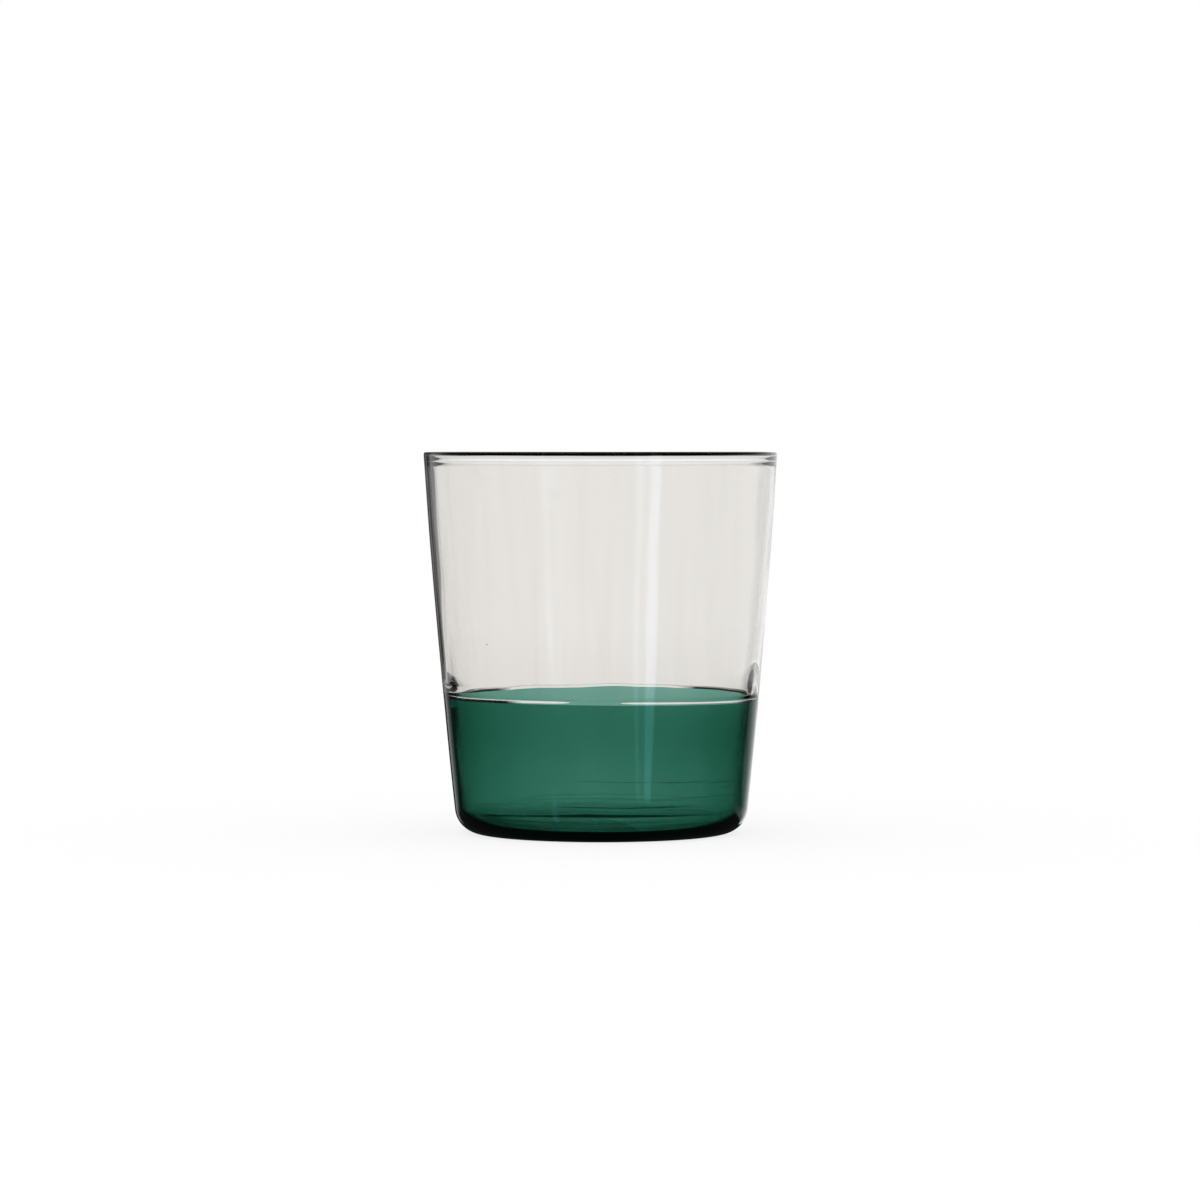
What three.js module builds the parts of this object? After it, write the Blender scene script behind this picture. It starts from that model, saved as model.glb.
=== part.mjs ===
// A small hand-blown tumbler in two colours of thin glass.
// A green cup with a flat base and a smoke-grey upper wall are joined hot through a narrow ring of clear glass.
// Units are millimetres and +Z is up. The origin is the centre of the underside, on the axis of the glass.

import * as THREE from 'three';

// Heights above the table
const height = 95;
const greenTop = 33.7;
const weldRingHeight = 1.2;
const smokeBottom = greenTop + weldRingHeight;

// Outer radius of the wall at the top of the rounded heel, and how far each colour flares out above it
const footRadius = 36.6;
const greenFlare = 2.7;
const smokeFlare = 4.8;
const seamRadius = footRadius + greenFlare;
const rimRadius = seamRadius + smokeFlare;

// Glass thicknesses
const wallThickness = 1.8;
const baseThickness = 2.2;
const weldBeadDepth = 0.3;

// Rounded corners of the base, outside and inside
const heelRadius = 6.5;
const innerCornerRadius = 5;

// Smoothness of the faceted surfaces
const stepsAround = 72;
const stepsUpGreenWall = 3;
const stepsUpSmokeWall = 6;
const stepsRoundCorner = 8;
const stepsRoundRim = 8;
const stepsOverBead = 4;

// The outer wall swells gently between its foot and its rim, on a parabola through the three outer radii.
const lowerSlope = (seamRadius - footRadius) / (greenTop - heelRadius);
const upperSlope = (rimRadius - seamRadius) / (height - greenTop);
const swell = (upperSlope - lowerSlope) / (height - heelRadius);

function outerRadius(z) {
  return footRadius + (z - heelRadius) * (lowerSlope + swell * (z - greenTop));
}

function outerLean(z) {
  return Math.atan(lowerSlope + swell * (2 * z - heelRadius - greenTop));
}

function innerRadius(z) {
  return outerRadius(z) - wallThickness;
}

// Profile points of a wall face from one height to another, at the radius that a function of height gives
function wallPoints(radiusAt, fromHeight, toHeight, steps) {
  const points = [];
  for (let i = 0; i <= steps; i += 1) {
    const z = fromHeight + ((toHeight - fromHeight) * i) / steps;
    points.push(new THREE.Vector2(radiusAt(z), z));
  }
  return points;
}

// Profile points of a round stretch. Angles are measured from straight out, turning up.
function arcPoints(centreRadius, centreHeight, radius, fromAngle, toAngle, steps) {
  const points = [];
  for (let i = 0; i <= steps; i += 1) {
    const angle = fromAngle + ((toAngle - fromAngle) * i) / steps;
    const r = centreRadius + radius * Math.cos(angle);
    const z = centreHeight + radius * Math.sin(angle);
    points.push(new THREE.Vector2(r, z));
  }
  return points;
}

// A rounded corner that meets a level face at levelHeight and runs into a leaning wall.
// It goes from the level face up to the wall.
function cornerPoints(radiusAt, levelHeight, radius) {
  const lean = outerLean(levelHeight + radius);
  const meetingHeight = levelHeight + radius * (1 - Math.sin(lean));
  const centreRadius = radiusAt(meetingHeight) - radius * Math.cos(lean);
  return arcPoints(centreRadius, levelHeight + radius, radius, -Math.PI / 2, -lean, stepsRoundCorner);
}

// Turns a profile about the Z axis. It runs up the outside and back down the inside.
function turned(name, profile, material) {
  const geometry = new THREE.LatheGeometry(profile, stepsAround);
  geometry.rotateX(Math.PI / 2);
  const mesh = new THREE.Mesh(geometry, material);
  mesh.name = name;
  return mesh;
}

// The green cup: underside, heel, outer wall, joint face, inner wall, inner corner and floor
function greenLowerCup(material) {
  const heel = cornerPoints(outerRadius, 0, heelRadius);
  const corner = cornerPoints(innerRadius, baseThickness, innerCornerRadius);
  const outerFoot = heel.pop().y;
  const innerFoot = corner.pop().y;
  const profile = [
    new THREE.Vector2(0, 0),
    ...heel,
    ...wallPoints(outerRadius, outerFoot, greenTop, stepsUpGreenWall),
    ...wallPoints(innerRadius, greenTop, innerFoot, stepsUpGreenWall),
    ...corner.reverse(),
    new THREE.Vector2(0, baseThickness),
  ];
  return turned('green_lower_cup', profile, material);
}

// The clear ring: level with the walls outside, with a low rounded bead inside
function clearWeldRing(material) {
  const beadRadius = (z) => {
    const share = (z - greenTop) / weldRingHeight;
    return innerRadius(z) - weldBeadDepth * Math.sin(Math.PI * share);
  };
  const profile = [
    ...wallPoints(outerRadius, greenTop, smokeBottom, 1),
    new THREE.Vector2(innerRadius(smokeBottom), smokeBottom),
    ...wallPoints(beadRadius, smokeBottom, greenTop, stepsOverBead).slice(1, -1),
    new THREE.Vector2(innerRadius(greenTop), greenTop),
  ];
  profile.push(profile[0].clone());
  return turned('clear_weld_ring', profile, material);
}

// The smoke wall: outside, fully rounded rim, inside and joint face
function smokeUpperWall(material) {
  const rimRound = wallThickness / 2;
  const rimStart = height - rimRound;
  const rimCentre = outerRadius(rimStart) - rimRound;
  const profile = [
    ...wallPoints(outerRadius, smokeBottom, rimStart, stepsUpSmokeWall),
    ...arcPoints(rimCentre, rimStart, rimRound, 0, Math.PI, stepsRoundRim).slice(1, -1),
    ...wallPoints(innerRadius, rimStart, smokeBottom, stepsUpSmokeWall),
  ];
  profile.push(profile[0].clone());
  return turned('smoke_upper_wall', profile, material);
}

// Coloured glass: smooth and see-through
function glass(colour, opacity) {
  return new THREE.MeshStandardMaterial({
    color: colour,
    roughness: 0.04,
    metalness: 0,
    transparent: true,
    opacity,
  });
}

const tumbler = new THREE.Group();
tumbler.name = 'tumbler';
tumbler.add(greenLowerCup(glass(0x2b6856, 0.8)));
tumbler.add(clearWeldRing(glass(0xe9f2ee, 0.3)));
tumbler.add(smokeUpperWall(glass(0xcfccc8, 0.35)));

export default tumbler;
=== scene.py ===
from math import atan, atan2, cos, exp, log, pi, radians, sin, tanh

import bmesh
import bpy
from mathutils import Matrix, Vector, noise


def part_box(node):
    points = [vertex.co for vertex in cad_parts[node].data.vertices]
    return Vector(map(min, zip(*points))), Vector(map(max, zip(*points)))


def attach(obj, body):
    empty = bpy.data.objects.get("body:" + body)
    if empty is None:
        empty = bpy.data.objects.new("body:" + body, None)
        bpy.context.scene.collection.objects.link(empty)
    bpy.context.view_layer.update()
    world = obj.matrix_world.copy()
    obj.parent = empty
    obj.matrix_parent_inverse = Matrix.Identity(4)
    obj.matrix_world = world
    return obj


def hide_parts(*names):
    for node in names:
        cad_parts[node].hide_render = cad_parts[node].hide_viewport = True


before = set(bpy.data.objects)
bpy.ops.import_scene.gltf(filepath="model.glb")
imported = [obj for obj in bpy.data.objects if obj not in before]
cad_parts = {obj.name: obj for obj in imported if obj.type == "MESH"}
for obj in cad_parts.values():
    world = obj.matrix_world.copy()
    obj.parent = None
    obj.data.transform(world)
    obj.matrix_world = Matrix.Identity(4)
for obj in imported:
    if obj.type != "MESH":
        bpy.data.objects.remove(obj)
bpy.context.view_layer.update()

# A small hand-blown tumbler: a green cup with a flat base and a smoke-grey upper wall,
# joined hot through a narrow ring of clear glass. Metres, +Z up, the camera looks along +Y.
# Angles round the glass start at its right, +X, and turn towards its back, +Y.

MM = 0.001

# Sizes that the frame gives
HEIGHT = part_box("smoke_upper_wall")[1].z
GREEN_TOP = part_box("green_lower_cup")[1].z
RIM_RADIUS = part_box("smoke_upper_wall")[1].x
SEAM_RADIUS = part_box("green_lower_cup")[1].x

# Sizes of the glass that its boxes don't give
FOOT_RADIUS = 36.6 * MM
HEEL_RADIUS = 6.5 * MM
INNER_CORNER = 5 * MM
WALL = 1.9 * MM
BASE = 2.2 * MM

# The green glass is a little thicker under the weld, and the smoke glass is drawn thin under
# the lip: by how much, its height and half how tall it is
GREEN_SWELL = (0.2 * MM, GREEN_TOP - 8 * MM, 8 * MM)
NECK = (0.28 * MM, HEIGHT - 2.2 * MM, 0.8 * MM)

# The clear ring of the weld, and the hairline gap between it and the colours
RING_HEIGHT = 1.15 * MM
WELD_GAP = 0.01 * MM

# At the back the top of the ring is lower by this much. From front to back the change is spread
# over this share of the radius, and the wall above follows it over this many heights of the ring.
RING_DROP = 0.5 * RING_HEIGHT
RING_DROP_TURN = 1 / 3
RING_DROP_FADE = 4

# The weld line isn't level: it tilts up to the left and to the back, and humps up at the front
# and the back. The walls follow it this far up and down.
SEAM_TILT_LEFT = 0.38 * MM
SEAM_TILT_BACK = 0.25 * MM
SEAM_HUMPS = 0.4 * MM
SEAM_REACH = 14 * MM

# The fire-polished rim: a nearly level lip with a soft outer and a tighter inner edge. It is a
# faint saddle, lower at the front and the back than at the sides, and the wall under it follows.
RIM_OUTER_ROUND = 0.62 * MM
RIM_INNER_ROUND = 0.42 * MM
RIM_DIP = 0.12 * MM
RIM_DIP_START = HEIGHT - 15 * MM

# The glass stands a little out of plumb: its rim is this far left of its foot.
LEAN = 0.25 * MM

# The smoke wall is thicker at the left than at the right, because its bubble sat off centre.
# This comes in across the weld, over this height.
OFF_CENTRE = 0.35 * MM
OFF_CENTRE_FADE = 5 * MM

# Slow ripples of both faces of the wall, finer ones, and ripples of the inner face alone: how
# deep, how many to a radius of the way round, how tall, and a place in the noise
RIPPLES = (0.05 * MM, 3, 30 * MM, (0, 0))
FINE_RIPPLES = (0.02 * MM, 9, 14 * MM, (5, 0))
INNER_RIPPLES = (0.1 * MM, 4, 22 * MM, (9, 3))

# Heights between which the ripples come in over the foot, and die away at the rim
FOOT_FREE = (4 * MM, 12 * MM)
RIM_FREE = (HEIGHT, HEIGHT - 6 * MM)

# The weld leaves a low bead inside, near the top of the clear ring. It has a gap near the middle
# of the front: where that is, as an angle round the glass, and half how wide.
BEAD = 0.13 * MM
BEAD_UP = 0.95 * MM
BEAD_HALF_HEIGHT = 0.55 * MM
BEAD_GAP = radians(-93)
BEAD_GAP_HALF_WIDTH = radians(9)

# Low lumps inside the wall at its sides, where the two bubbles were pressed together: degrees
# round from +X, height, half the width in degrees, half how tall and how deep they are
LUMPS = [
    (-163, 37.0 * MM, 7, 1.1 * MM, 0.22 * MM),
    (165, 36.6 * MM, 5, 0.8 * MM, 0.15 * MM),
    (-17, 38.6 * MM, 4, 2.4 * MM, 0.24 * MM),
    (12, 37.4 * MM, 5, 1.8 * MM, 0.2 * MM),
]

# Seeds, the tiny bubbles of blown glass: degrees round from +X, height and radius
SEEDS = [
    (-134, 48.2 * MM, 0.17 * MM),
    (-37, 69.4 * MM, 0.12 * MM),
    (-62, 57.0 * MM, 0.08 * MM),
    (35, 61.5 * MM, 0.13 * MM),
    (118, 74.0 * MM, 0.11 * MM),
    (165, 52.5 * MM, 0.14 * MM),
]

# Fineness of the meshes. Steps are closer together in a stretch next to the weld and the rim.
STEPS_AROUND = 288
FINE_STRETCH = 4 * MM
CORNER_STEPS = 24
LIP_STEPS = 12
LEVEL_STEPS = 10
MERGE_WITHIN = 0.0005 * MM
ON_AXIS = 0.001 * MM
SHARP_EDGE = radians(40)

# The outer wall swells gently on a parabola through the three outer radii. In the frame it
# reaches the last of them where the rounding of the rim begins.
RIM_START = HEIGHT - 0.9 * MM
LOWER_SLOPE = (SEAM_RADIUS - FOOT_RADIUS) / (GREEN_TOP - HEEL_RADIUS)
UPPER_SLOPE = (RIM_RADIUS - SEAM_RADIUS) / (RIM_START - GREEN_TOP)
SWELL = (UPPER_SLOPE - LOWER_SLOPE) / (RIM_START - HEEL_RADIUS)


def outer_radius(z):
    return FOOT_RADIUS + (z - HEEL_RADIUS) * (LOWER_SLOPE + SWELL * (z - GREEN_TOP))


def outer_lean(z):
    return atan(LOWER_SLOPE + SWELL * (2 * z - HEEL_RADIUS - GREEN_TOP))


def hump(value, middle, half_width):
    """A smooth hump, 1 at its middle and 0 far from it."""
    return exp(-(((value - middle) / half_width) ** 2))


def part_way(value, start, end):
    """How far value is on its way from start to end, from 0 to 1."""
    return min(1, max(0, (value - start) / (end - start)))


def soft_step(value):
    """A smooth step, from 0 far below zero to 1 far above it."""
    return 0.5 + 0.5 * tanh(value)


def wall_thickness(z):
    swell, swell_height, swell_half = GREEN_SWELL
    neck, neck_height, neck_half = NECK
    return WALL + swell * hump(z, swell_height, swell_half) - neck * hump(z, neck_height, neck_half)


def inner_radius(z):
    return outer_radius(z) - wall_thickness(z)


def wall_points(radius_at, start, end, steps):
    heights = [start + (end - start) * i / steps for i in range(steps + 1)]
    return [(radius_at(z), z) for z in heights]


def level_points(radius, z):
    """From the axis outwards, short of the radius itself."""
    return [(radius * i / LEVEL_STEPS, z) for i in range(LEVEL_STEPS)]


def arc_points(centre_radius, centre_height, radius, start, end, steps):
    angles = [start + (end - start) * i / steps for i in range(steps + 1)]
    return [(centre_radius + radius * cos(a), centre_height + radius * sin(a)) for a in angles]


def corner_points(radius_at, level, radius):
    """The round corner from a level face up to the leaning wall."""
    lean = outer_lean(level + radius)
    meeting = level + radius * (1 - sin(lean))
    centre = radius_at(meeting) - radius * cos(lean)
    return arc_points(centre, level + radius, radius, -pi / 2, -lean, CORNER_STEPS)


def rim_points():
    """The melted lip from the outer wall, over its top, to the inner wall."""
    lean = outer_lean(HEIGHT)
    outer_z = HEIGHT - RIM_OUTER_ROUND
    outer_r = outer_radius(outer_z - RIM_OUTER_ROUND * sin(lean)) - RIM_OUTER_ROUND * cos(lean)
    inner_z = HEIGHT - RIM_INNER_ROUND
    inner_r = inner_radius(inner_z + RIM_INNER_ROUND * sin(lean)) + RIM_INNER_ROUND * cos(lean)
    outer_edge = arc_points(outer_r, outer_z, RIM_OUTER_ROUND, -lean, pi / 2, LIP_STEPS)
    inner_edge = arc_points(inner_r, inner_z, RIM_INNER_ROUND, pi / 2, pi - lean, LIP_STEPS)
    return outer_edge, inner_edge


def seam_rise(angle, z):
    tilt = SEAM_TILT_BACK * sin(angle) - SEAM_TILT_LEFT * cos(angle)
    humps = SEAM_HUMPS * sin(angle) ** 2
    return (tilt + humps) * hump(z, GREEN_TOP, SEAM_REACH)


def ring_drop(angle, z):
    back = soft_step(sin(angle) / RING_DROP_TURN)
    above = (z - GREEN_TOP) / RING_HEIGHT
    return RING_DROP * back * min(1, max(0, above)) * hump(max(1, above), 1, RING_DROP_FADE)


def rim_dip(angle, z):
    return RIM_DIP * sin(angle) ** 2 * part_way(z, RIM_DIP_START, HEIGHT) ** 2


def ripple(around, z, deep, many, tall, place):
    return deep * noise.noise(around * many + Vector((*place, z / tall)))


def bead_and_lumps(angle, z):
    gap = hump(angle, BEAD_GAP, BEAD_GAP_HALF_WIDTH)
    raised = BEAD * (1 - gap) * hump(z, GREEN_TOP + BEAD_UP, BEAD_HALF_HEIGHT)
    for degrees, height, across, tall, deep in LUMPS:
        turn = atan2(sin(angle - radians(degrees)), cos(angle - radians(degrees)))
        raised += deep * hump(turn, 0, radians(across)) * hump(z, height, tall)
    return raised


def hand_worked(point, inside):
    """Moves a point of the true turned form to where the glassworker's hand left it. inside is
    how far the point belongs to the inner face of the wall, from 0 to 1."""
    z = point.z
    angle = atan2(point.y, point.x)
    around = Vector((cos(angle), sin(angle), 0))
    free = part_way(z, *FOOT_FREE) * part_way(z, *RIM_FREE)
    both_faces = free * (ripple(around, z, *RIPPLES) + ripple(around, z, *FINE_RIPPLES))
    inner_face = free * ripple(around, z, *INNER_RIPPLES) - bead_and_lumps(angle, z)
    moved = point + around * (both_faces + inner_face * inside)
    off_centre = OFF_CENTRE * soft_step((z - GREEN_TOP) / OFF_CENTRE_FADE)
    moved.x += off_centre * inside - LEAN * z / HEIGHT
    moved.z += seam_rise(angle, z) - rim_dip(angle, z) - ring_drop(angle, z)
    return moved


def mesh_from(bm, name):
    mesh = bpy.data.meshes.new(name)
    bm.to_mesh(mesh)
    bm.free()
    return mesh


def put_in_scene(name, data):
    thing = bpy.data.objects.new(name, data)
    bpy.context.collection.objects.link(thing)
    return thing


def turned(name, profile, closed):
    """A solid of revolution about the Z axis. Each profile point is its radius, height and
    how far it belongs to the inside of the wall, from 0 to 1. The mesh keeps each point's height
    on the turned form, so that marks in the glass follow the rim and the weld."""
    bm = bmesh.new()
    depth = bm.verts.layers.float.new("inside")
    height = bm.verts.layers.float.new("turned_height")
    verts = []
    for r, z, inside in profile:
        vert = bm.verts.new((r, 0, z))
        vert[depth] = inside
        verts.append(vert)
    edges = [bm.edges.new(pair) for pair in zip(verts, verts[1:])]
    if closed:
        edges.append(bm.edges.new((verts[-1], verts[0])))
    bmesh.ops.spin(
        bm,
        geom=verts + edges,
        cent=(0, 0, 0),
        axis=(0, 0, 1),
        angle=2 * pi,
        steps=STEPS_AROUND,
        use_merge=True,
    )
    bmesh.ops.remove_doubles(bm, verts=bm.verts, dist=MERGE_WITHIN)
    for vert in bm.verts:
        vert[height] = vert.co.z
        if vert.co.xy.length > ON_AXIS:
            vert.co = hand_worked(vert.co, vert[depth])
    bmesh.ops.recalc_face_normals(bm, faces=bm.faces)
    mesh = mesh_from(bm, name)
    mesh.shade_smooth()
    mesh.set_sharp_from_angle(angle=SHARP_EDGE)
    return put_in_scene(name, mesh)


def outside(points):
    return [(r, z, 0) for r, z in points]


def inside(points):
    return [(r, z, 1) for r, z in points]


def green_cup():
    """Up the outside from the middle of the underside, and down the inside to the floor."""
    heel = corner_points(outer_radius, 0, HEEL_RADIUS)
    corner = corner_points(inner_radius, BASE, INNER_CORNER)
    top = GREEN_TOP - WELD_GAP
    near_weld = top - FINE_STRETCH
    underside = level_points(heel[0][0], 0)
    outer_wall = wall_points(outer_radius, heel[-1][1], top, steps=50)
    inner_top = wall_points(inner_radius, top, near_weld, steps=24)
    inner_wall = wall_points(inner_radius, near_weld, corner[-1][1], steps=40)
    floor = level_points(corner[0][0], BASE)
    outer = underside + heel + outer_wall[1:]
    inner = inner_top + inner_wall[1:] + corner[-2::-1] + floor[::-1]
    return turned("green_cup_glass", outside(outer) + inside(inner), closed=False)


def weld_ring():
    top = GREEN_TOP + RING_HEIGHT
    outer = wall_points(outer_radius, GREEN_TOP, top, steps=8)
    inner = wall_points(inner_radius, top, GREEN_TOP, steps=14)
    return turned("weld_ring_glass", outside(outer) + inside(inner), closed=True)


def smoke_wall():
    bottom = GREEN_TOP + RING_HEIGHT + WELD_GAP
    outer_edge, inner_edge = rim_points()
    inner_start = inner_edge[-1][1]
    near_rim = inner_start - FINE_STRETCH
    near_weld = bottom + FINE_STRETCH
    outer_wall = wall_points(outer_radius, bottom, outer_edge[0][1], steps=70)
    inner_top = wall_points(inner_radius, inner_start, near_rim, steps=24)
    inner_wall = wall_points(inner_radius, near_rim, near_weld, steps=60)
    inner_foot = wall_points(inner_radius, near_weld, bottom, steps=40)
    inner = inner_edge + inner_top[1:] + inner_wall[1:] + inner_foot[1:]
    profile = outside(outer_wall[:-1] + outer_edge) + inside(inner)
    wall = turned("smoke_wall_glass", profile, closed=True)
    add_seeds(wall)
    return wall


def add_seeds(wall):
    """Bubbles are hollows, so their faces look into them."""
    bm = bmesh.new()
    bm.from_mesh(wall.data)
    depth = bm.verts.layers.float["inside"]
    height = bm.verts.layers.float["turned_height"]
    for degrees, z, radius in SEEDS:
        made = bmesh.ops.create_icosphere(bm, subdivisions=2, radius=radius)["verts"]
        middle = (outer_radius(z) + inner_radius(z)) / 2
        place = Vector((middle * cos(radians(degrees)), middle * sin(radians(degrees)), z))
        bmesh.ops.translate(bm, verts=made, vec=place)
        faces = {face for vert in made for face in vert.link_faces}
        bmesh.ops.reverse_faces(bm, faces=list(faces))
        for face in faces:
            face.smooth = True
        for vert in made:
            vert[depth] = 0.5
            vert[height] = vert.co.z
    bm.to_mesh(wall.data)
    bm.free()


def linear(hex_colour):
    """sRGB hex to linear RGBA."""
    channels = [int(hex_colour[i : i + 2], 16) / 255 for i in (1, 3, 5)]
    return (*[c / 12.92 if c <= 0.04045 else ((c + 0.055) / 1.055) ** 2.4 for c in channels], 1)


def place_stops(ramp, stops):
    """Sets a colour ramp's stops: each is its place and its colour."""
    while len(ramp.elements) > 1:
        ramp.elements.remove(ramp.elements[-1])
    ramp.elements[0].position = stops[0][0]
    ramp.elements[0].color = linear(stops[0][1])
    for place, colour in stops[1:]:
        ramp.elements.new(place).color = linear(colour)


def add_node(tree, kind, settings=None, **inputs):
    """Adds a node. Settings are its properties and a ramp's stops. Inputs are its sockets, by
    name or number, each given a value, a socket, or a node for that node's first output."""
    node = tree.nodes.new(kind)
    for key, value in (settings or {}).items():
        if key == "stops":
            place_stops(node.color_ramp, value)
        else:
            setattr(node, key, value)
    for key, value in inputs.items():
        socket = node.inputs[int(key[1:]) if key[1:].isdigit() else key.replace("_", " ")]
        if isinstance(value, bpy.types.Node):
            value = value.outputs[0]
        if isinstance(value, bpy.types.NodeSocket):
            tree.links.new(value, socket)
        else:
            socket.default_value = value
    return node


# Settings that several nodes share
PLUS = {"operation": "ADD"}
MINUS = {"operation": "SUBTRACT"}
TIMES = {"operation": "MULTIPLY"}
TIMES_PLUS = {"operation": "MULTIPLY_ADD"}
WITHOUT_SIGN = {"operation": "ABSOLUTE"}
LENGTH = {"operation": "LENGTH"}
COLOURS = {"data_type": "RGBA"}
TURNED_HEIGHT = {"attribute_name": "turned_height"}
INSIDE = {"attribute_name": "inside"}


def new_material(name):
    mat = bpy.data.materials.new(name)
    mat.use_nodes = True
    mat.node_tree.nodes.clear()
    return mat


def make_glass(tree, tint, seen_through, depth, gloss):
    """Ends a material as glass that is coloured all through. seen_through is the colour of white
    light that has passed depth of it. tint is what its surface lets in, and gloss tints what it
    mirrors."""
    bsdf = add_node(
        tree,
        "ShaderNodeBsdfPrincipled",
        Base_Color=tint,
        Roughness=0.0,
        IOR=1.47,
        Transmission_Weight=1.0,
        Specular_Tint=linear(gloss),
    )
    absorbed = [-log(channel) / depth for channel in linear(seen_through)[:3]]
    most = max(absorbed)
    colour = [1 - a / most for a in absorbed]
    body = add_node(tree, "ShaderNodeVolumeAbsorption", Color=(*colour, 1), Density=most)
    add_node(tree, "ShaderNodeOutputMaterial", Surface=bsdf, Volume=body)


def pattern_scale(*sizes):
    """The scale of a pattern whose marks have these real sizes."""
    return [1 / size for size in sizes]


# Painted shade and highlight of the smoke glass at its rim: millimetres below the rim, and how
# clear the glass is painted there. At the top a black line and then grey of painted shade, below
# that a painted highlight where the glass is clearest, a faint painted dark line under it, and then
# the wall's own faint tint.
RIM_PAINTED_SHADE = [
    (0.66, "#000000"),
    (0.78, "#dedede"),
    (1.3, "#e8e8e8"),
    (1.6, "#f3f3f3"),
    (1.75, "#ffffff"),
    (2.75, "#ffffff"),
    (2.9, "#f3f3f3"),
    (3.1, "#f3f3f3"),
    (3.4, "#fdfcfb"),
]
RIM_PAINTED_SHADE_END = RIM_PAINTED_SHADE[-1][0]
# Cords are about 3 mm wide, longer than the wall is high, and this clear.
CORD_WIDTH = 3.333 * MM
CORD_LENGTH = 83.33 * MM
CORD_CLEAR = 0.975
# The wall is a little denser towards the weld: how clear it is there, and how far up that goes
DENSE_CLEAR = 0.965
DENSE_REACH = 18 * MM


def smoke_glass():
    """Thin blown soda glass with a trace of grey. At the lip a dark line of painted shade is laid
    into it, and under that a painted highlight of clearer glass where the wall is drawn out thin.
    Faint upright cords run through the wall."""
    mat = new_material("smoke blown soda glass")
    tree = mat.node_tree
    height = add_node(tree, "ShaderNodeAttribute", TURNED_HEIGHT).outputs["Fac"]
    # How far below the rim a point is. This places the rim's painted shade and highlight.
    below = add_node(
        tree,
        "ShaderNodeMapRange",
        Value=height,
        From_Min=HEIGHT,
        From_Max=HEIGHT - RIM_PAINTED_SHADE_END * MM,
    )
    rim_painted_shade_stops = [(down / RIM_PAINTED_SHADE_END, clear) for down, clear in RIM_PAINTED_SHADE]
    lip = add_node(tree, "ShaderNodeValToRGB", {"stops": rim_painted_shade_stops}, Fac=below)
    coord = add_node(tree, "ShaderNodeTexCoord").outputs["Object"]
    drawn = add_node(
        tree,
        "ShaderNodeMapping",
        Vector=coord,
        Scale=pattern_scale(CORD_WIDTH, CORD_WIDTH, CORD_LENGTH),
    )
    cords = add_node(tree, "ShaderNodeTexNoise", Vector=drawn, Scale=1.0, Detail=1.0)
    cord = add_node(
        tree,
        "ShaderNodeMapRange",
        Value=cords,
        From_Min=0.45,
        From_Max=0.75,
        To_Min=1.0,
        To_Max=CORD_CLEAR,
    )
    dense = add_node(
        tree,
        "ShaderNodeMapRange",
        Value=height,
        From_Min=GREEN_TOP,
        From_Max=GREEN_TOP + DENSE_REACH,
        To_Min=DENSE_CLEAR,
        To_Max=1.0,
    )
    corded = add_node(tree, "ShaderNodeMath", TIMES, _0=cord, _1=dense)
    # The smoke tint carries the rim's painted shade and highlight, and the cords.
    tint = add_node(tree, "ShaderNodeVectorMath", TIMES, _0=lip, _1=corded)
    make_glass(tree, tint, seen_through="#e5e0d4", depth=20 * MM, gloss="#ffffff")
    return mat


# Marks of the wooden tool. Each has its height, the side it is on, how far that way from the
# axis it begins and is whole, half its width and how dark it is.
TOOL_MARKS = [
    (8.9 * MM, (0.15, -0.99, 0), (32 * MM, 35 * MM), 0.26 * MM, 0.85),
    (15.2 * MM, (0.1, -0.99, 0), (35.5 * MM, 37 * MM), 0.15 * MM, 0.5),
    (14.9 * MM, (0.55, -0.84, 0), (36.5 * MM, 37.3 * MM), 0.17 * MM, 0.8),
    (14.4 * MM, (0.8, -0.6, 0), (36.3 * MM, 37.3 * MM), 0.15 * MM, 0.8),
    (11.0 * MM, (0.75, -0.66, 0), (34 * MM, 36 * MM), 0.15 * MM, 0.6),
]
# The middle of a mark, this share of its width, is evenly dark.
MARK_CORE = 0.3
# Marks wander up and down by half of this, over lengths of about 30 mm.
MARK_WANDER = 1 * MM
MARK_WANDER_LENGTH = 28.57 * MM
# Streaks: how tall and long they are, how dark on the heel and on the wall above it, and between
# which heights that changes
STREAK_HEIGHT = 0.769 * MM
STREAK_LENGTH = 40 * MM
STREAK_DARK = (0.34, 0.01)
STREAK_FADE = (5 * MM, 8 * MM)


def tool_mark(tree, height, outer, at, toward, fades, half_width, dark):
    """Nodes for a hair-thin arc where the wooden tool touched the outside of the turning glass."""
    off = add_node(tree, "ShaderNodeMath", MINUS, _0=height, _1=at)
    near = add_node(tree, "ShaderNodeMath", WITHOUT_SIGN, _0=off)
    line = add_node(
        tree,
        "ShaderNodeMapRange",
        Value=near,
        From_Min=MARK_CORE * half_width,
        From_Max=half_width,
        To_Min=dark,
        To_Max=0.0,
    )
    coord = add_node(tree, "ShaderNodeTexCoord").outputs["Object"]
    dot = {"operation": "DOT_PRODUCT"}
    side = add_node(tree, "ShaderNodeVectorMath", dot, _0=coord, _1=toward).outputs["Value"]
    there = add_node(tree, "ShaderNodeMapRange", Value=side, From_Min=fades[0], From_Max=fades[1])
    arc = add_node(tree, "ShaderNodeMath", TIMES, _0=line, _1=there)
    mark = add_node(tree, "ShaderNodeMath", TIMES, _0=arc, _1=outer)
    return add_node(tree, "ShaderNodeMath", MINUS, _0=1.0, _1=mark)


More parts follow.
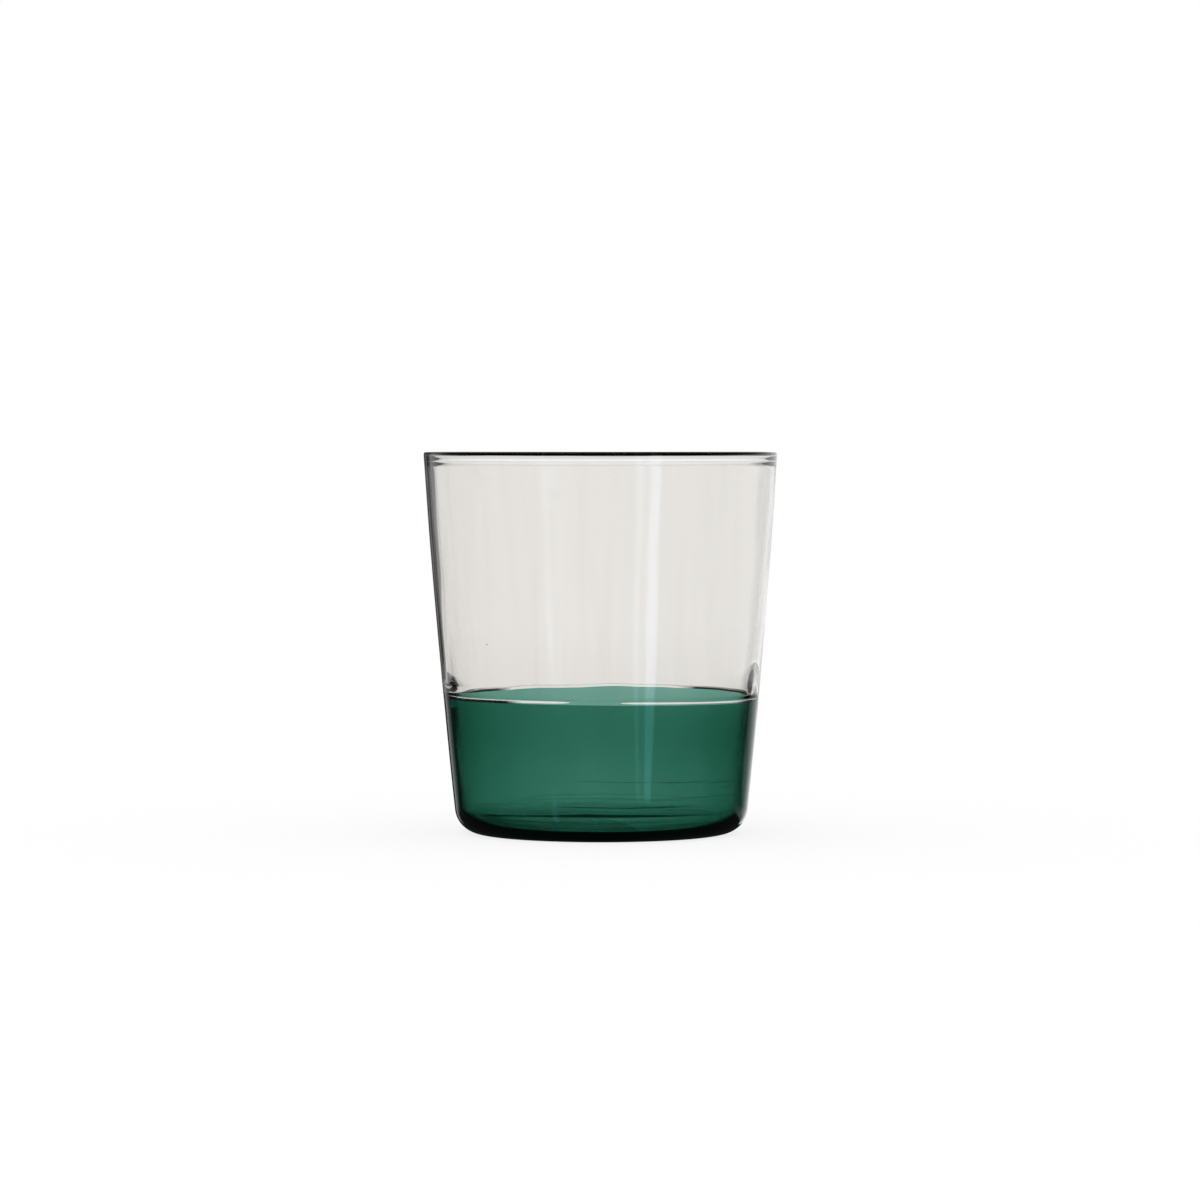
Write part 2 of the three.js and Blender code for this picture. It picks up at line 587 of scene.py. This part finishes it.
def green_glass():
    """Blown soda glass of a deep bottle green, coloured right through. Turning it in the wooden
    tool has left hair-thin arcs low on the wall and level streaks round the heel."""
    mat = new_material("green blown soda glass")
    tree = mat.node_tree
    kept = add_node(tree, "ShaderNodeAttribute", TURNED_HEIGHT).outputs["Fac"]
    coord = add_node(tree, "ShaderNodeTexCoord").outputs["Object"]
    wander_scale = pattern_scale(MARK_WANDER_LENGTH)[0]
    wander = add_node(tree, "ShaderNodeTexNoise", Vector=coord, Scale=wander_scale, Detail=2.0)
    raised = add_node(tree, "ShaderNodeMath", TIMES_PLUS, _0=wander, _1=MARK_WANDER, _2=kept)
    height = add_node(tree, "ShaderNodeMath", MINUS, _0=raised, _1=MARK_WANDER / 2)
    laid = add_node(
        tree,
        "ShaderNodeMapping",
        Vector=coord,
        Scale=pattern_scale(STREAK_LENGTH, STREAK_LENGTH, STREAK_HEIGHT),
    )
    streaks = add_node(tree, "ShaderNodeTexNoise", Vector=laid, Scale=1.0, Detail=2.0)
    dark = add_node(tree, "ShaderNodeMapRange", Value=streaks, From_Min=0.44, From_Max=0.62)
    low = add_node(
        tree,
        "ShaderNodeMapRange",
        Value=kept,
        From_Min=STREAK_FADE[0],
        From_Max=STREAK_FADE[1],
        To_Min=STREAK_DARK[0],
        To_Max=STREAK_DARK[1],
    )
    streak = add_node(tree, "ShaderNodeMath", TIMES, _0=dark, _1=low)
    tint = add_node(tree, "ShaderNodeMath", MINUS, _0=1.0, _1=streak)
    inner = add_node(tree, "ShaderNodeAttribute", INSIDE).outputs["Fac"]
    outer = add_node(tree, "ShaderNodeMath", MINUS, _0=1.0, _1=inner)
    for at, toward, fades, half_width, mark_dark in TOOL_MARKS:
        mark = tool_mark(tree, height, outer, at, toward, fades, half_width, mark_dark)
        tint = add_node(tree, "ShaderNodeMath", TIMES, _0=tint, _1=mark)
    make_glass(tree, tint, seen_through="#74ab9c", depth=2 * MM, gloss="#a0fff3")
    return mat


# A dark line of painted shade on the clear ring at its joint with the green, at the sides of the
# glass. A stretch of the front and one of the back are bare of it: the middle of the stretch, to
# the right, half its width and how high the painted shade line stands. One turns into the other
# within this much of the axis.
SEAM_SHADE_FRONT = (6.5 * MM, 27.5 * MM, 0.55 * MM)
SEAM_SHADE_BACK = (-2 * MM, 24 * MM, 0.95 * MM)
SEAM_SHADE_TURN = 10 * MM
# How dark the painted shade line is, the height over which its upper edge fades, and half the width
# over which its ends do
SEAM_SHADE_DARK = 0.97
SEAM_SHADE_EDGE = 0.2 * MM
SEAM_SHADE_END = 2 * MM


def clear_glass():
    """Colourless blown soda glass, faintly green through its depth. Where it meets the green at the
    sides of the glass, a dark line of painted shade runs along the joint."""
    mat = new_material("clear blown soda glass")
    tree = mat.node_tree
    kept = add_node(tree, "ShaderNodeAttribute", TURNED_HEIGHT).outputs["Fac"]
    coord = add_node(tree, "ShaderNodeTexCoord").outputs["Object"]
    axes = add_node(tree, "ShaderNodeSeparateXYZ", Vector=coord)
    back = add_node(
        tree,
        "ShaderNodeMapRange",
        Value=axes.outputs["Y"],
        From_Min=-SEAM_SHADE_TURN,
        From_Max=SEAM_SHADE_TURN,
    )
    middle, bare, tall = [
        add_node(tree, "ShaderNodeMapRange", Value=back, To_Min=at_front, To_Max=at_back)
        for at_front, at_back in zip(SEAM_SHADE_FRONT, SEAM_SHADE_BACK)
    ]
    above = add_node(tree, "ShaderNodeMath", MINUS, _0=kept, _1=GREEN_TOP)
    over = add_node(tree, "ShaderNodeMath", MINUS, _0=above, _1=tall)
    # The painted shade line: dark just at the joint, and fading above it.
    joint_shade = add_node(
        tree,
        "ShaderNodeMapRange",
        Value=over,
        From_Max=SEAM_SHADE_EDGE,
        To_Min=SEAM_SHADE_DARK,
        To_Max=0.0,
    )
    across = add_node(tree, "ShaderNodeMath", MINUS, _0=axes.outputs["X"], _1=middle)
    away = add_node(tree, "ShaderNodeMath", WITHOUT_SIGN, _0=across)
    past = add_node(tree, "ShaderNodeMath", MINUS, _0=away, _1=bare)
    sides = add_node(
        tree, "ShaderNodeMapRange", Value=past, From_Min=-SEAM_SHADE_END, From_Max=SEAM_SHADE_END
    )
    # The painted shade line, kept to the sides of the glass.
    drawn = add_node(tree, "ShaderNodeMath", TIMES, _0=joint_shade, _1=sides)
    unshaded = add_node(tree, "ShaderNodeMath", MINUS, _0=1.0, _1=drawn)
    tint = add_node(tree, "ShaderNodeVectorMath", TIMES, _0=linear("#f7f6f4")[:3], _1=unshaded)
    make_glass(tree, tint, seen_through="#d6e9df", depth=20 * MM, gloss="#ffffff")
    return mat


def dress(piece, node, material):
    piece.data.materials.append(material)
    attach(piece, "root")
    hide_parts(node)


dress(green_cup(), "green_lower_cup", green_glass())
dress(weld_ring(), "clear_weld_ring", clear_glass())
dress(smoke_wall(), "smoke_upper_wall", smoke_glass())


# What stands round the glass, as its reflections see it: degrees from straight behind it
# towards the left, and how bright the studio is there, where #bcbcbc is as bright as white paper.
# A list of levels keeps its first one before its first place, and its last one after its last.
SIDES = [
    (-108, "#272727"),
    (-85, "#7c7c7c"),
    (-70, "#959595"),
    (-45, "#b3b3b3"),
    (-40, "#bcbcbc"),
    (4, "#bcbcbc"),
    (5, "#272727"),
    (8, "#272727"),
    (10, "#6f6f6f"),
    (12, "#272727"),
    (17, "#272727"),
    (19, "#6f6f6f"),
    (24, "#313131"),
    (30, "#3f3f3f"),
    (35, "#aaaaaa"),
    (45, "#aaaaaa"),
    (60, "#6c6c6c"),
    (80, "#272727"),
    (130, "#191919"),
    (180, "#272727"),
]
# The table is dark to the glass in an oval round it, which reaches farthest behind it: how far
# its middle lies behind the glass, how much longer than wide it is, and where it fades out.
OVAL_BACK = 155 * MM
OVAL_SHAPE = 1.25
OVAL_FADE = (330 * MM, 355 * MM)
OVAL_COLOUR = "#191919"
# Two tall narrow lamps at the front right, a small and a faint one at the front left, lights
# behind at the right and the left, and a weak one near the foot at the right
TALL_LAMPS = [
    (-158, "#000000"),
    (-157, "#cccccc"),
    (-155, "#cccccc"),
    (-154, "#616161"),
    (-148.5, "#616161"),
    (-147.5, "#ffffff"),
    (-141, "#ffffff"),
    (-139.5, "#000000"),
]
SMALL_LAMP = [
    (137, "#000000"),
    (139, "#bcbcbc"),
    (143, "#bcbcbc"),
    (146, "#000000"),
]
FAINT_LAMP = [
    (139.5, "#000000"),
    (141, "#8c9199"),
    (143, "#8c9199"),
    (144.5, "#000000"),
]
RIGHT_BEHIND = [
    (-44, "#000000"),
    (-40, "#505050"),
    (-36, "#616161"),
    (-29, "#7c7c7c"),
    (-18, "#a6a6a6"),
    (-8, "#bcbcbc"),
    (-2, "#bcbcbc"),
    (0, "#000000"),
]
LEFT_BEHIND = [
    (16.2, "#000000"),
    (18.5, "#7c7c7c"),
    (25, "#757575"),
    (27, "#4d4d4d"),
    (31.5, "#4d4d4d"),
    (34, "#000000"),
]
RIGHT_FOOT = [
    (-75, "#000000"),
    (-60, "#595959"),
    (-15, "#6f6f6f"),
    (0, "#000000"),
]
# Stretches of the wall that mirror the lights, from which their degrees are measured
FRONT_RIGHT = (13 * MM, -37 * MM, 0)
FRONT_LEFT = (-12 * MM, -37 * MM, 0)
RIGHT_EDGE = (37 * MM, 0, 0)
LEFT_EDGE = (-37 * MM, 0, 0)
# Each light on the table: its levels, the stretch that mirrors it, how far from the glass it is
# unseen and whole, and its colour
LAMPS = [
    (TALL_LAMPS, FRONT_RIGHT, 70 * MM, 75 * MM, "#bcdaee"),
    (SMALL_LAMP, FRONT_LEFT, 95 * MM, 60 * MM, "#bcdaee"),
    (FAINT_LAMP, FRONT_LEFT, 230 * MM, 270 * MM, "#ffffff"),
    (RIGHT_BEHIND, RIGHT_EDGE, 480 * MM, 440 * MM, "#ffffff"),
    (LEFT_BEHIND, LEFT_EDGE, 480 * MM, 440 * MM, "#ffffff"),
    (RIGHT_FOOT, RIGHT_EDGE, 75 * MM, 60 * MM, "#ffffff"),
]
# The tall lamps go on up the sides of the studio, weaker there.
TALL_LAMPS_UP_COLOUR = "#8c9199"
# The dark ceiling, and how steeply up, as a sine, the sides begin to turn into it and end
CEILING_COLOUR = "#272727"
CEILING_FADE = (0.15, 0.5)
# How strong the studio is in light mirrored once, so that #bcbcbc is white, and in light that
# was mirrored more often
MIRRORED_ONCE = 2.0
MIRRORED_AGAIN = 0.2


def level_around(tree, direction, levels):
    """Nodes that look a direction from the glass up in a list of levels."""
    axes = add_node(tree, "ShaderNodeSeparateXYZ", Vector=direction)
    left = add_node(tree, "ShaderNodeMath", TIMES, _0=axes.outputs["X"], _1=-1.0)
    arctangent = {"operation": "ARCTAN2"}
    turn = add_node(tree, "ShaderNodeMath", arctangent, _0=left, _1=axes.outputs["Y"])
    part = add_node(tree, "ShaderNodeMath", TIMES_PLUS, _0=turn, _1=1 / (2 * pi), _2=0.5)
    stops = [(degrees / 360 + 0.5, level) for degrees, level in levels]
    return add_node(tree, "ShaderNodeValToRGB", {"stops": stops}, Fac=part)


def bounces(tree):
    """Nodes that tell whether light was mirrored on its way, and how strong it still is:
    what was mirrored more than once is dim."""
    path = add_node(tree, "ShaderNodeLightPath")
    times = path.outputs["Glossy Depth"]
    once = add_node(tree, "ShaderNodeMath", {"operation": "GREATER_THAN"}, _0=times, _1=0.5)
    kept = add_node(
        tree,
        "ShaderNodeMapRange",
        Value=times,
        From_Min=1.0,
        From_Max=2.0,
        To_Min=MIRRORED_ONCE,
        To_Max=MIRRORED_AGAIN,
    )
    return once, kept


def studio_on_table(tree):
    """Nodes for what the glass mirrors where the table is: a dark oval, beyond it the sides of
    the studio, and the lights."""
    coord = add_node(tree, "ShaderNodeTexCoord").outputs["Object"]
    oval = add_node(
        tree,
        "ShaderNodeMapping",
        Vector=coord,
        Location=(0, -OVAL_BACK, 0),
        Scale=(OVAL_SHAPE, 1, 1),
    )
    off = add_node(tree, "ShaderNodeVectorMath", LENGTH, _0=oval).outputs["Value"]
    far = add_node(
        tree, "ShaderNodeMapRange", Value=off, From_Min=OVAL_FADE[0], From_Max=OVAL_FADE[1]
    )
    sides = level_around(tree, coord, SIDES)
    dark = linear(OVAL_COLOUR)
    seen = add_node(tree, "ShaderNodeMix", COLOURS, Factor=far, _6=dark, _7=sides).outputs[2]
    away = add_node(tree, "ShaderNodeVectorMath", LENGTH, _0=coord).outputs["Value"]
    for levels, mirror, unseen, whole, colour in LAMPS:
        spot = add_node(tree, "ShaderNodeVectorMath", MINUS, _0=coord, _1=mirror)
        lamps = level_around(tree, spot, levels)
        edge = add_node(tree, "ShaderNodeMapRange", Value=away, From_Min=unseen, From_Max=whole)
        ended = add_node(tree, "ShaderNodeVectorMath", TIMES, _0=lamps, _1=edge)
        tinted = add_node(tree, "ShaderNodeVectorMath", TIMES, _0=ended, _1=linear(colour)[:3])
        seen = add_node(tree, "ShaderNodeVectorMath", PLUS, _0=seen, _1=tinted)
    return seen


# The table reaches 20 m each way. Most of its white is a glow of its own, so its shadow is soft.
TABLE_REACH = 20
TABLE_GLOW = 0.8


def make_floor():
    """A matt white table. Light that the glass mirrors finds the studio on it, not the table."""
    bm = bmesh.new()
    bmesh.ops.create_grid(bm, x_segments=1, y_segments=1, size=TABLE_REACH)
    floor = put_in_scene("floor", mesh_from(bm, "floor"))
    mat = new_material("white table")
    tree = mat.node_tree
    lit = add_node(tree, "ShaderNodeBsdfDiffuse", Color=linear("#7c7c7c"))
    glow = add_node(tree, "ShaderNodeEmission", Color=linear("#ffffff"), Strength=TABLE_GLOW)
    table = add_node(tree, "ShaderNodeAddShader", _0=lit, _1=glow)
    bounced, kept = bounces(tree)
    mirrored = add_node(tree, "ShaderNodeEmission", Color=studio_on_table(tree), Strength=kept)
    both = add_node(tree, "ShaderNodeMixShader", Fac=bounced, _1=table, _2=mirrored)
    add_node(tree, "ShaderNodeOutputMaterial", Surface=both)
    floor.data.materials.append(mat)


def make_world():
    """A white tent of light. Light that the glass mirrors finds the lamps and the dark screens
    on its sides, and a dark ceiling."""
    world = bpy.data.worlds.new("studio")
    bpy.context.scene.world = world
    world.use_nodes = True
    tree = world.node_tree
    tree.nodes.clear()
    coord = add_node(tree, "ShaderNodeTexCoord").outputs["Generated"]
    lamps = level_around(tree, coord, TALL_LAMPS)
    up_colour = linear(TALL_LAMPS_UP_COLOUR)[:3]
    tinted = add_node(tree, "ShaderNodeVectorMath", TIMES, _0=lamps, _1=up_colour)
    sides = level_around(tree, coord, SIDES)
    lit_sides = add_node(tree, "ShaderNodeVectorMath", PLUS, _0=sides, _1=tinted)
    axes = add_node(tree, "ShaderNodeSeparateXYZ", Vector=coord)
    above = add_node(
        tree,
        "ShaderNodeMapRange",
        {"interpolation_type": "SMOOTHSTEP"},
        Value=axes.outputs["Z"],
        From_Min=CEILING_FADE[0],
        From_Max=CEILING_FADE[1],
    )
    dark = linear(CEILING_COLOUR)
    seen = add_node(tree, "ShaderNodeMix", COLOURS, Factor=above, _6=lit_sides, _7=dark).outputs[2]
    bounced, kept = bounces(tree)
    bright = add_node(tree, "ShaderNodeVectorMath", TIMES, _0=seen, _1=kept)
    white = linear("#ffffff")
    mixed = add_node(tree, "ShaderNodeMix", COLOURS, Factor=bounced, _6=white, _7=bright).outputs[2]
    sky = add_node(tree, "ShaderNodeBackground", Color=mixed, Strength=1.0)
    add_node(tree, "ShaderNodeOutputWorld", Surface=sky)


# The camera stands 1.2 m in front of the glass, just above its rim, and looks slightly down.
# Its lens and sensor are in millimetres, as a lens is marked.
CAMERA_PLACE = Vector((-0.35 * MM, -1200 * MM, 98 * MM))
CAMERA_AIM = Vector((-0.35 * MM, 0, 58.06 * MM))
LENS = 144.4
SENSOR_WIDTH = 36


def make_camera():
    data = bpy.data.cameras.new("camera")
    data.lens = LENS
    data.sensor_width = SENSOR_WIDTH
    camera = put_in_scene("camera", data)
    camera.location = CAMERA_PLACE
    camera.rotation_mode = "QUATERNION"
    camera.rotation_quaternion = (CAMERA_AIM - CAMERA_PLACE).to_track_quat("-Z", "Y")
    bpy.context.scene.camera = camera


make_floor()
make_world()
make_camera()

# Light that runs along inside a wall of glass meets its faces many times.
MOST_BOUNCES = 48
scene = bpy.context.scene
scene.view_settings.view_transform = "Standard"
scene.cycles.max_bounces = MOST_BOUNCES
scene.cycles.transmission_bounces = MOST_BOUNCES
scene.cycles.glossy_bounces = MOST_BOUNCES
scene.cycles.transparent_max_bounces = MOST_BOUNCES
